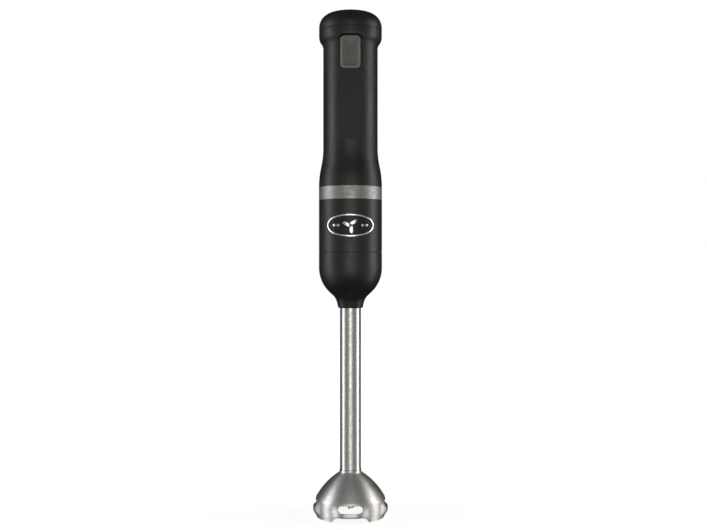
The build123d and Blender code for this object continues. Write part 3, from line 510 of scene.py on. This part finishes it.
def vent_cutter():
    """Round-ended bars through both pairs of vents."""
    bm = bmesh.new()
    for quarter in range(4):
        made = bmesh.ops.create_cube(bm, size=1.0)["verts"]
        bmesh.ops.scale(bm, vec=(VENT_W, 20 * MM, VENT_H), verts=made)
        edges = [e for e in {e for v in made for e in v.link_edges}
                 if abs((e.verts[0].co - e.verts[1].co).y) > 1 * MM]
        grown = bmesh.ops.bevel(bm, geom=edges, offset=VENT_H / 2 * VENT_ROUND, offset_type="OFFSET",
                                affect="EDGES", segments=10, profile=0.5, material=-1, clamp_overlap=False)
        verts = list({v for f in grown["faces"] for v in f.verts})
        bmesh.ops.translate(bm, vec=(0, -30 * MM, VENT_Z), verts=verts)
        turn = Matrix.Rotation(quarter * pi / 2, 3, "Z")
        bmesh.ops.rotate(bm, cent=(0, 0, 0), matrix=turn, verts=verts)
    return cutter("vent_cutter", bm)


def notch_cutter():
    """Bar through the front and back of the rim, narrower and rounded at its top."""
    bm = bmesh.new()
    made = bmesh.ops.create_cube(bm, size=1.0)["verts"]
    bmesh.ops.scale(bm, vec=(NOTCH_W, 80 * MM, 2 * NOTCH_H), verts=made)
    slope = (NOTCH_W - NOTCH_TOP_W) / 2
    for vert in made:
        vert.co.x += (-1 if vert.co.x > 0 else 1) * slope * vert.co.z / NOTCH_H
    top = [e for e in bm.edges
           if all(v.co.z > 0 for v in e.verts) and abs((e.verts[0].co - e.verts[1].co).y) > MM]
    bmesh.ops.bevel(bm, geom=top, offset=NOTCH_CORNER, offset_type="OFFSET", affect="EDGES", segments=8,
                    profile=0.5, material=-1, clamp_overlap=True)
    return cutter("notch_cutter", bm)


def blade_guard():
    """Brushed sheet guard: spun dome, four pressed hoods, vents and two rim notches."""
    bm = bmesh.new()
    verts = [bm.verts.new((r, 0, z)) for r, z in guard_outline()]
    edges = [bm.edges.new(pair) for pair in zip(verts, verts[1:])]
    bmesh.ops.spin(bm, geom=verts + edges, axis=(0, 0, 1), cent=(0, 0, 0), dvec=(0, 0, 0), angle=2 * pi,
                   steps=TURNS, use_merge=True)
    press_hoods(bm)
    closed(bm)
    guard = new_piece("blade_guard", bm, GUARD_STEEL, "arm")
    wall = guard.modifiers.new("sheet", "SOLIDIFY")
    wall.thickness = SHEET
    wall.offset = -1.0
    wall.use_even_offset = True
    cutters = [vent_cutter(), notch_cutter()]
    for block in cutters:
        cut = guard.modifiers.new("cut", "BOOLEAN")
        cut.operation = "DIFFERENCE"
        cut.solver = "EXACT"
        cut.object = block
    soft = guard.modifiers.new("deburr", "BEVEL")
    soft.width = 0.16 * MM
    soft.segments = 2
    soft.limit_method = "ANGLE"
    soft.angle_limit = radians(50)
    soft.harden_normals = False
    bpy.context.view_layer.update()
    applied(guard)
    for block in cutters:
        bpy.data.objects.remove(block, do_unlink=True)
    settle_normals(guard)
    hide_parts("bell")
    return guard


def neck_bead():
    """Polished weld bead where the guard meets the tube."""
    bm = bmesh.new()
    bead = bmesh.ops.create_circle(bm, cap_ends=False, radius=0.42 * MM, segments=14)["verts"]
    bmesh.ops.rotate(bm, cent=(0, 0, 0), matrix=Matrix.Rotation(pi / 2, 3, "X"), verts=bead)
    bmesh.ops.translate(bm, vec=(TUBE_R + 0.05 * MM, 0, NECK_Z - 0.1 * MM), verts=bead)
    bmesh.ops.spin(bm, geom=bm.verts[:] + bm.edges[:], axis=(0, 0, 1), cent=(0, 0, 0), dvec=(0, 0, 0),
                   angle=2 * pi, steps=96, use_merge=True)
    closed(bm)
    return new_piece("neck_bead", bm, FINISHES["plated_steel"], "arm")


# ---- marks on the handle --------------------------------------------------------------------------
def wrap_on_housing(bm, lift):
    """Bends a flat mark, drawn in X and Z with depth along Y, round the front of the housing."""
    for vert in bm.verts:
        angle = vert.co.x / HOUSING_R
        reach = HOUSING_R + lift - vert.co.y
        vert.co.x = reach * sin(angle)
        vert.co.y = -reach * cos(angle)


def flat_ellipse(bm, half_w, half_h, segments=96):
    made = bmesh.ops.create_circle(bm, cap_ends=True, radius=1.0, segments=segments)["verts"]
    bmesh.ops.rotate(bm, cent=(0, 0, 0), matrix=Matrix.Rotation(pi / 2, 3, "X"), verts=made)
    bmesh.ops.scale(bm, vec=(half_w, 1.0, half_h), verts=made)
    return made


def thickened(bm, depth):
    """Gives a flat mark its depth, from y = 0 back to y = depth."""
    moved = bmesh.ops.extrude_face_region(bm, geom=bm.faces[:])
    verts = [g for g in moved["geom"] if isinstance(g, bmesh.types.BMVert)]
    bmesh.ops.translate(bm, vec=(0, depth, 0), verts=verts)
    bmesh.ops.recalc_face_normals(bm, faces=bm.faces)


BADGE_Z = (BADGE_LOW.z + BADGE_HIGH.z) / 2
BADGE_HALF_H = (BADGE_HIGH.z - BADGE_LOW.z) / 2
BADGE_HALF_W = HOUSING_R * asin(BADGE_HIGH.x / HOUSING_R)
BADGE_BORDER = 1.35 * MM


def badge_rim():
    """Bright raised border of the oval badge."""
    bm = bmesh.new()
    turns = [radians(3.75 * k) for k in range(96)]
    loops = []
    for inset in (0.0, BADGE_BORDER):
        half_w, half_h = BADGE_HALF_W - inset, BADGE_HALF_H - inset
        loops.append([bm.verts.new((half_w * cos(turn), 0, half_h * sin(turn))) for turn in turns])
    outer, inner = loops
    for k in range(len(turns)):
        bm.faces.new((outer[k - 1], outer[k], inner[k], inner[k - 1]))
    thickened(bm, 0.5 * MM)
    rounded(bm, 0.12 * MM, 60.0)
    bmesh.ops.translate(bm, vec=(0, 0, BADGE_Z), verts=bm.verts)
    wrap_on_housing(bm, 0.18 * MM)
    closed(bm, 1e-7)
    return new_piece("badge_rim", bm, FINISHES["satin_metal"], "handle")


def badge_field():
    """Black enamel inside the border."""
    bm = bmesh.new()
    flat_ellipse(bm, BADGE_HALF_W - 0.6 * BADGE_BORDER, BADGE_HALF_H - 0.6 * BADGE_BORDER)
    bmesh.ops.triangulate(bm, faces=bm.faces[:])
    bmesh.ops.subdivide_edges(bm, edges=bm.edges[:], cuts=3, use_grid_fill=True)
    thickened(bm, 0.3 * MM)
    bmesh.ops.translate(bm, vec=(0, 0, BADGE_Z), verts=bm.verts)
    wrap_on_housing(bm, 0.05 * MM)
    closed(bm, 1e-7)
    return new_piece("badge_field", bm, FINISHES["black_gloss"], "handle")


def badge_whirl():
    """Plain whirl of three petals between two pairs of dots, in the middle of the badge."""
    bm = bmesh.new()
    for petal in range(3):
        made = flat_ellipse(bm, 3.2 * MM, 1.55 * MM, 40)
        for vert in made:
            vert.co.z += 60.0 * vert.co.x * vert.co.x
        bmesh.ops.translate(bm, vec=(3.6 * MM, 0, 0.7 * MM), verts=made)
        turn = Matrix.Rotation(radians(90 + 120 * petal), 3, "Y")
        bmesh.ops.rotate(bm, cent=(0, 0, 0), matrix=turn, verts=made)
    for place in (-14.0, -10.4, 10.4, 14.0):
        made = flat_ellipse(bm, 1.2 * MM, 1.2 * MM, 24)
        bmesh.ops.translate(bm, vec=(place * MM, 0, 0), verts=made)
    thickened(bm, 0.3 * MM)
    rounded(bm, 0.07 * MM, 60.0)
    bmesh.ops.triangulate(bm, faces=bm.faces[:])
    bmesh.ops.translate(bm, vec=(0, 0, BADGE_Z), verts=bm.verts)
    wrap_on_housing(bm, 0.15 * MM)
    bmesh.ops.recalc_face_normals(bm, faces=bm.faces)
    return new_piece("badge_whirl", bm, FINISHES["satin_metal"], "handle")


BUTTON_Z = (BUTTON_LOW.z + BUTTON_HIGH.z) / 2
BUTTON_FACE_Y = BUTTON_LOW.y
BUTTON_BACK_Y = BUTTON_HIGH.y
LIP_OUT = 1.2 * MM
BUTTON_W = BUTTON_HIGH.x - BUTTON_LOW.x - 2 * LIP_OUT
BUTTON_H = BUTTON_HIGH.z - BUTTON_LOW.z - 2 * LIP_OUT
BUTTON_CORNER = 3.6 * MM
BUTTON_LAND = 0.75 * MM       # flat raised border round the thumb dish
BUTTON_EDGE = 1.1 * MM
BUTTON_STEPS = 10
BUTTON_WALL = 1.6 * MM
BUTTON_SKIN = 2.0 * MM        # thickness of the button's face
LIP_FRONT_Y = BUTTON_FACE_Y + 5.8 * MM
LIP_BACK_Y = LIP_FRONT_Y + 1.2 * MM
POST_R = 1.6 * MM
DISH_DEPTH = 0.75 * MM
# Thumb dish: millimetres in from the land, millimetres down from the face, share of the painted dish shade
DISH_PROFILE = (
    (0.0, 0.0, 0.0), (0.12, 0.03, 0.0), (0.3, 0.16, 0.5), (0.6, 0.36, 1.0), (0.9, 0.45, 1.0),
    (2.0, 0.58, 1.0), (3.4, 0.68, 1.0), (5.2, DISH_DEPTH / MM, 1.0),
)
SPRING_TURNS = 5
SPRING_STEPS = 24             # rings of points in one turn of the wire
SPRING_WIRE = 0.3 * MM
WIRE_SIDES = 10
ICON_R = 2.75 * MM
ICON_LINE = 0.75 * MM
ICON_DEPTH = 0.24 * MM
ICON_Z = BUTTON_Z + 0.4 * MM


def rounded_outline(inset):
    """Points (x, z) round the button's outline, drawn in by inset."""
    half_w, half_h = BUTTON_W / 2 - inset, BUTTON_H / 2 - inset
    corner = max(BUTTON_CORNER - inset, 0.6 * MM)
    points = []
    for quarter, (side, up) in enumerate(((1, 1), (-1, 1), (-1, -1), (1, -1))):
        for step in range(BUTTON_STEPS + 1):
            turn = radians(90 * (quarter + step / BUTTON_STEPS))
            points.append((side * (half_w - corner) + corner * cos(turn),
                           up * (half_h - corner) + corner * sin(turn)))
    return points


def post_outline():
    """Points (x, z) round the post behind the button, as many as round the button itself."""
    count = 4 * (BUTTON_STEPS + 1)
    turns = [2 * pi * (k + 0.5) / count for k in range(count)]
    return [(POST_R * cos(turn), POST_R * sin(turn)) for turn in turns]


def power_button():
    """Thumb button: a cup with a post and a retaining lip, a raised border and a dished face."""
    front = BUTTON_FACE_Y
    ceiling = front + BUTTON_SKIN
    behind = (post_outline(), post_outline(), rounded_outline(BUTTON_WALL), rounded_outline(BUTTON_WALL),
              rounded_outline(-LIP_OUT), rounded_outline(-LIP_OUT), rounded_outline(0.0))
    depths = (BUTTON_BACK_Y, ceiling, ceiling, LIP_BACK_Y, LIP_BACK_Y, LIP_FRONT_Y, LIP_FRONT_Y)
    rings = [(outline, depth, 0.0) for outline, depth in zip(behind, depths)]
    for step in range(7):
        turn = radians(15 * step)
        outline = rounded_outline(BUTTON_EDGE * (1 - cos(turn)))
        rings.append((outline, front + BUTTON_EDGE * (1 - sin(turn)), 0.0))
    for inset, fall, dish in DISH_PROFILE:
        rings.append((rounded_outline(BUTTON_EDGE + BUTTON_LAND + inset * MM), front + fall * MM, dish))
    bm = bmesh.new()
    # painted shade: each ring carries its share of the darker dish tone, rising as the face dips
    grain_and_dish_shade = bm.verts.layers.float.new("dish")
    loops = []
    for outline, depth, dish in rings:
        loop = [bm.verts.new((x, depth, BUTTON_Z + z)) for x, z in outline]
        for vert in loop:
            vert[grain_and_dish_shade] = dish
        loops.append(loop)
    skinned(bm, loops)
    piece = new_piece("thumb_button", bm, BUTTON_PLASTIC, "button", 50.0)
    settle_normals(piece)
    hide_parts("power_button")
    return piece


def return_spring():
    """Coil spring behind the button, built at one length."""
    low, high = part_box("button_spring")
    coil = high.x - SPRING_WIRE
    rise = high.y - low.y - 2 * SPRING_WIRE
    bm = bmesh.new()
    loops = []
    for step in range(SPRING_TURNS * SPRING_STEPS + 1):
        turn = radians(360 / SPRING_STEPS * step)
        out = Vector((cos(turn), 0, sin(turn)))
        along = low.y + SPRING_WIRE + rise * step / (SPRING_TURNS * SPRING_STEPS)
        centre = coil * out + Vector((0, along, BUTTON_Z))
        sides = [radians(360 / WIRE_SIDES * k) for k in range(WIRE_SIDES)]
        loops.append([bm.verts.new(centre + SPRING_WIRE * (cos(side) * out + Vector((0, sin(side), 0))))
                      for side in sides])
    skinned(bm, loops)
    piece = new_piece("return_spring", bm, FINISHES["plated_steel"], "handle", 50.0)
    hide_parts("button_spring")
    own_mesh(piece)
    return piece


def power_mark():
    """Generic power symbol: an open ring and a short upright line, inlaid in the dish."""
    bm = bmesh.new()
    gap = radians(34)
    section = bmesh.ops.create_grid(bm, x_segments=1, y_segments=1, size=0.5)["verts"]
    bmesh.ops.scale(bm, vec=(ICON_LINE, ICON_DEPTH, 1.0), verts=section)
    bmesh.ops.translate(bm, vec=(ICON_R, 0, 0), verts=section)
    bmesh.ops.rotate(bm, cent=(0, 0, 0), matrix=Matrix.Rotation(-(pi / 2 - gap), 3, "Y"), verts=section)
    bmesh.ops.spin(bm, geom=bm.verts[:] + bm.edges[:] + bm.faces[:], axis=(0, 1, 0), cent=(0, 0, 0),
                   dvec=(0, 0, 0), angle=2 * (pi - gap), steps=48)
    bar = bmesh.ops.create_cube(bm, size=1.0)["verts"]
    bmesh.ops.scale(bm, vec=(ICON_LINE, ICON_DEPTH, 3.4 * MM), verts=bar)
    bmesh.ops.translate(bm, vec=(0, 0, 2.6 * MM), verts=bar)
    bmesh.ops.translate(bm, vec=(0, BUTTON_FACE_Y + DISH_DEPTH, ICON_Z), verts=bm.verts)
    closed(bm, 1e-7)
    return new_piece("power_mark", bm, MARK_PLASTIC, "button")


# ---- stage ----------------------------------------------------------------------------------------
EYE_Z = 214.4 * MM
EYE_Y = -842.7 * MM
EYE_X = 2.6 * MM
LENS = 50.0
SENSOR = 36.0
SURROUND_FRONT = 0.38         # strength of the dim surround that the steel mirrors
SURROUND_BACK = 0.03
SURROUND_TOP = 0.12


def area_light(name, place, target, width, height, power, colour):
    """A softbox that faces a point and isn't seen itself."""
    lamp = bpy.data.lights.new(name, "AREA")
    lamp.shape = "RECTANGLE"
    lamp.size = width
    lamp.size_y = height
    lamp.energy = power
    lamp.color = colour
    holder = bpy.data.objects.new(name, lamp)
    holder.location = place
    holder.rotation_mode = "QUATERNION"
    holder.rotation_quaternion = (Vector(target) - Vector(place)).to_track_quat("-Z", "Y")
    holder.visible_camera = False
    bpy.context.scene.collection.objects.link(holder)
    return holder


def studio():
    """Tall side softboxes, low ones for the guard, a warm front light, a back fill and the surround."""
    middle, foot = (0.0, 0.0, 0.3), (0.0, 0.0, 0.0)
    area_light("left_box", (-1.1, -0.10, 0.42), middle, 0.30, 0.95, 4.7, (0.93, 0.96, 1.0))
    area_light("right_box", (1.1, 0.0, 0.42), middle, 0.29, 0.95, 4.9, (1.0, 0.99, 0.98))
    area_light("left_low", (-1.1, -0.10, -0.24), foot, 0.36, 0.36, 1.1, (0.93, 0.96, 1.0))
    area_light("right_low", (1.1, 0.0, -0.24), foot, 0.36, 0.36, 1.15, (1.0, 0.99, 0.98))
    area_light("front_box", (0.03, -1.7, 0.16), (0.0, 0.0, 0.2), 0.85, 0.85, 6.8, (1.0, 0.95, 0.89))
    back = area_light("back_fill", (0.0, 1.5, 0.6), middle, 1.2, 1.0, 3.0, (1.0, 1.0, 1.0))
    back.visible_glossy = False
    surround()


def surround():
    """White to the eye. In reflections it is dim, brightest low in front, and dark overhead and behind."""
    world = bpy.data.worlds.new("surround")
    bpy.context.scene.world = world
    world.use_nodes = True
    tree = world.node_tree
    tree.nodes.clear()
    out = tree.nodes.new("ShaderNodeOutputWorld")
    mix = tree.nodes.new("ShaderNodeMixShader")
    rays = tree.nodes.new("ShaderNodeLightPath")
    seen = tree.nodes.new("ShaderNodeBackground")
    seen.inputs["Color"].default_value = (1.0, 1.0, 1.0, 1.0)
    dim = tree.nodes.new("ShaderNodeBackground")
    place = tree.nodes.new("ShaderNodeTexCoord")
    split = tree.nodes.new("ShaderNodeSeparateXYZ")
    tree.links.new(place.outputs["Generated"], split.inputs[0])

    def ramp(value, start, end, low, high):
        fade = tree.nodes.new("ShaderNodeMapRange")
        fade.interpolation_type = "SMOOTHSTEP"
        for socket, number in (("From Min", start), ("From Max", end), ("To Min", low), ("To Max", high)):
            fade.inputs[socket].default_value = number
        tree.links.new(value, fade.inputs["Value"])
        return fade.outputs["Result"]

    def joined(operation, first, second):
        sum_node = tree.nodes.new("ShaderNodeMath")
        sum_node.operation = operation
        tree.links.new(first, sum_node.inputs[0])
        tree.links.new(second, sum_node.inputs[1])
        return sum_node.outputs[0]

    low_front = joined("MULTIPLY", ramp(split.outputs["Z"], -0.75, -0.15, 0.1, 1.0),
                       ramp(split.outputs["Z"], -0.05, 0.45, 1.0, 0.22))
    ahead = ramp(split.outputs["Y"], -0.95, 0.25, SURROUND_FRONT, 0.0)
    strength = joined("MULTIPLY", low_front, ahead)
    base = ramp(split.outputs["Z"], 0.6, 0.95, SURROUND_BACK, SURROUND_TOP)
    tree.links.new(joined("ADD", strength, base), dim.inputs["Strength"])
    tree.links.new(rays.outputs["Is Camera Ray"], mix.inputs["Fac"])
    tree.links.new(dim.outputs[0], mix.inputs[1])
    tree.links.new(seen.outputs[0], mix.inputs[2])
    tree.links.new(mix.outputs[0], out.inputs["Surface"])


def pale_floor():
    """White floor that takes a soft shadow and throws no light back up."""
    bm = bmesh.new()
    bmesh.ops.create_grid(bm, x_segments=1, y_segments=1, size=6.0)
    bmesh.ops.translate(bm, vec=(0, 0, -0.05 * MM), verts=bm.verts)
    mesh = bpy.data.meshes.new("floor")
    bm.to_mesh(mesh)
    bm.free()
    floor = bpy.data.objects.new("floor", mesh)
    bpy.context.scene.collection.objects.link(floor)
    paint = bpy.data.materials.new("pale_floor")
    paint.use_nodes = True
    shader = paint.node_tree.nodes["Principled BSDF"]
    shader.inputs["Base Color"].default_value = (0.30, 0.30, 0.30, 1.0)
    shader.inputs["Roughness"].default_value = 0.9
    shader.inputs["Specular IOR Level"].default_value = 0.0
    shader.inputs["Emission Color"].default_value = (1.0, 1.0, 1.0, 1.0)
    tree = paint.node_tree
    spot = tree.nodes.new("ShaderNodeTexCoord")
    far = tree.nodes.new("ShaderNodeVectorMath")
    far.operation = "LENGTH"
    glow = tree.nodes.new("ShaderNodeMapRange")
    glow.interpolation_type = "SMOOTHSTEP"
    glow.inputs["From Min"].default_value = 0.05
    glow.inputs["From Max"].default_value = 0.45
    glow.inputs["To Min"].default_value = 0.90
    glow.inputs["To Max"].default_value = 1.02
    tree.links.new(spot.outputs["Object"], far.inputs[0])
    tree.links.new(far.outputs["Value"], glow.inputs["Value"])
    tree.links.new(glow.outputs["Result"], shader.inputs["Emission Strength"])
    mesh.materials.append(paint)
    floor.visible_diffuse = False
    floor.visible_glossy = False
    floor.visible_shadow = False


def camera():
    """Level camera a little above the middle of the blender, in front of the button."""
    lens = bpy.data.cameras.new("camera")
    lens.lens = LENS
    lens.sensor_width = SENSOR
    lens.clip_start = 0.01
    eye = bpy.data.objects.new("camera", lens)
    eye.location = (EYE_X, EYE_Y, EYE_Z)
    eye.rotation_euler = (pi / 2, 0, 0)
    bpy.context.scene.collection.objects.link(eye)
    bpy.context.scene.camera = eye


# ---- assembly -------------------------------------------------------------------------------------
SOFT_EDGES = {
    "front_shell": ("handle", "black_shell", 0.14),
    "rear_shell": ("handle", "black_shell", 0.14),
    "end_cap": ("handle", "black_shell", 0.25),
    "motor_housing": ("handle", "black_shell", 0.16),
    "trim_ring": ("handle", "brushed_steel", 0.12),
    "front_panel": ("handle", "black_gloss", 0.10),
    "arm_housing": ("arm", "black_shell", 0.20),
}

OWN_FINISHES = {"trim_ring": RING_STEEL}

camera()
studio()
pale_floor()
dress_cad_parts()
for part, (body, slot, width) in SOFT_EDGES.items():
    softened(part, body, OWN_FINISHES.get(part, FINISHES[slot]), width * MM)
blade_guard()
neck_bead()
badge_rim()
badge_field()
badge_whirl()
power_button()
return_spring()
power_mark()

bpy.context.scene.view_settings.view_transform = "Standard"
bpy.context.scene.view_settings.look = "None"

bpy.context.view_layer.update()
